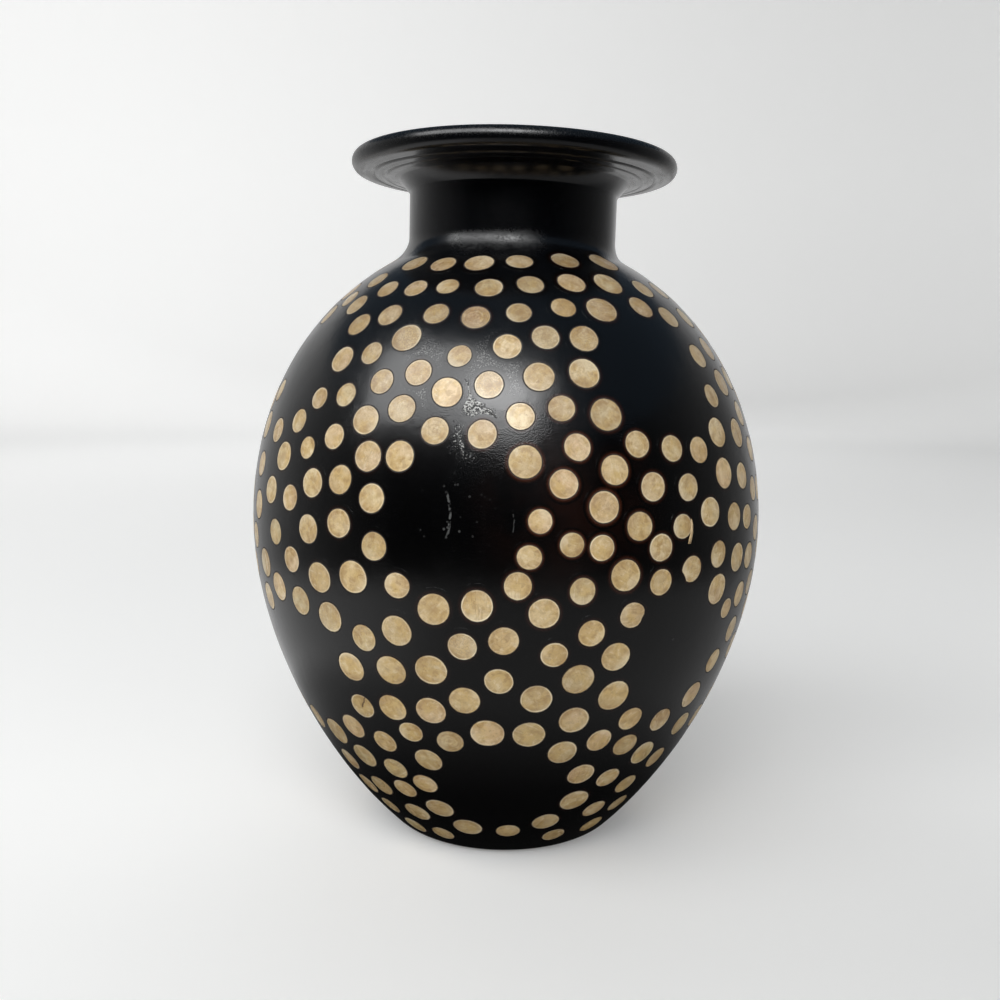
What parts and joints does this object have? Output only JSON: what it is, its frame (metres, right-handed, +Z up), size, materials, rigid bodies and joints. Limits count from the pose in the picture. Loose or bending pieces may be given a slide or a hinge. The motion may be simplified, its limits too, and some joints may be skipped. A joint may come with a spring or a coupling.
{
  "type": "inlaid vase",
  "caption": "Egg-shaped vase with a short neck and a wide flat flange, black coat inlaid with round slices of wood.",
  "frame": {"origin": "centre of the foot, on the surface that the vase stands on", "axes": "+Z up along the vase's axis, -Y towards the side that the picture shows, +X to its right"},
  "size_m": [0.1526, 0.1526, 0.2009],
  "materials": {
    "clay": "matte fired clay, bare inside and under the foot",
    "lacquer": "glossy black lacquer, hand rubbed, with fine pits and scratches",
    "wood": "pale end-grain slices under a clear gloss, each with a lighter edge"
  },
  "bodies": {
    "root": {"core_vessel": "clay", "lacquer_coat": "lacquer", "inlay_disc_01": "wood", "inlay_disc_02": "wood", "inlay_disc_03": "wood", "inlay_disc_04": "wood", "inlay_disc_05": "wood", "inlay_disc_06": "wood", "inlay_disc_07": "wood", "inlay_disc_08": "wood", "inlay_disc_09": "wood", "inlay_disc_10": "wood", "inlay_disc_11": "wood", "inlay_disc_12": "wood", "inlay_disc_13": "wood", "inlay_disc_14": "wood", "inlay_disc_15": "wood", "inlay_disc_16": "wood", "inlay_disc_17": "wood", "inlay_disc_18": "wood", "inlay_disc_19": "wood", "inlay_disc_20": "wood", "inlay_disc_21": "wood", "inlay_disc_22": "wood", "inlay_disc_23": "wood", "inlay_disc_24": "wood", "inlay_disc_25": "wood", "inlay_disc_26": "wood", "inlay_disc_27": "wood", "inlay_disc_28": "wood", "inlay_disc_29": "wood", "inlay_disc_30": "wood", "inlay_disc_31": "wood", "inlay_disc_32": "wood", "inlay_disc_33": "wood", "inlay_disc_34": "wood", "inlay_disc_35": "wood", "inlay_disc_36": "wood", "inlay_disc_37": "wood", "inlay_disc_38": "wood", "inlay_disc_39": "wood", "inlay_disc_40": "wood", "inlay_disc_41": "wood", "inlay_disc_42": "wood", "inlay_disc_43": "wood", "inlay_disc_44": "wood", "inlay_disc_45": "wood", "inlay_disc_46": "wood", "inlay_disc_47": "wood", "inlay_disc_48": "wood", "inlay_disc_49": "wood", "inlay_disc_50": "wood", "inlay_disc_51": "wood", "inlay_disc_52": "wood", "inlay_disc_53": "wood", "inlay_disc_54": "wood", "inlay_disc_55": "wood", "inlay_disc_56": "wood", "inlay_disc_57": "wood", "inlay_disc_58": "wood"}
  },
  "joints": []
}
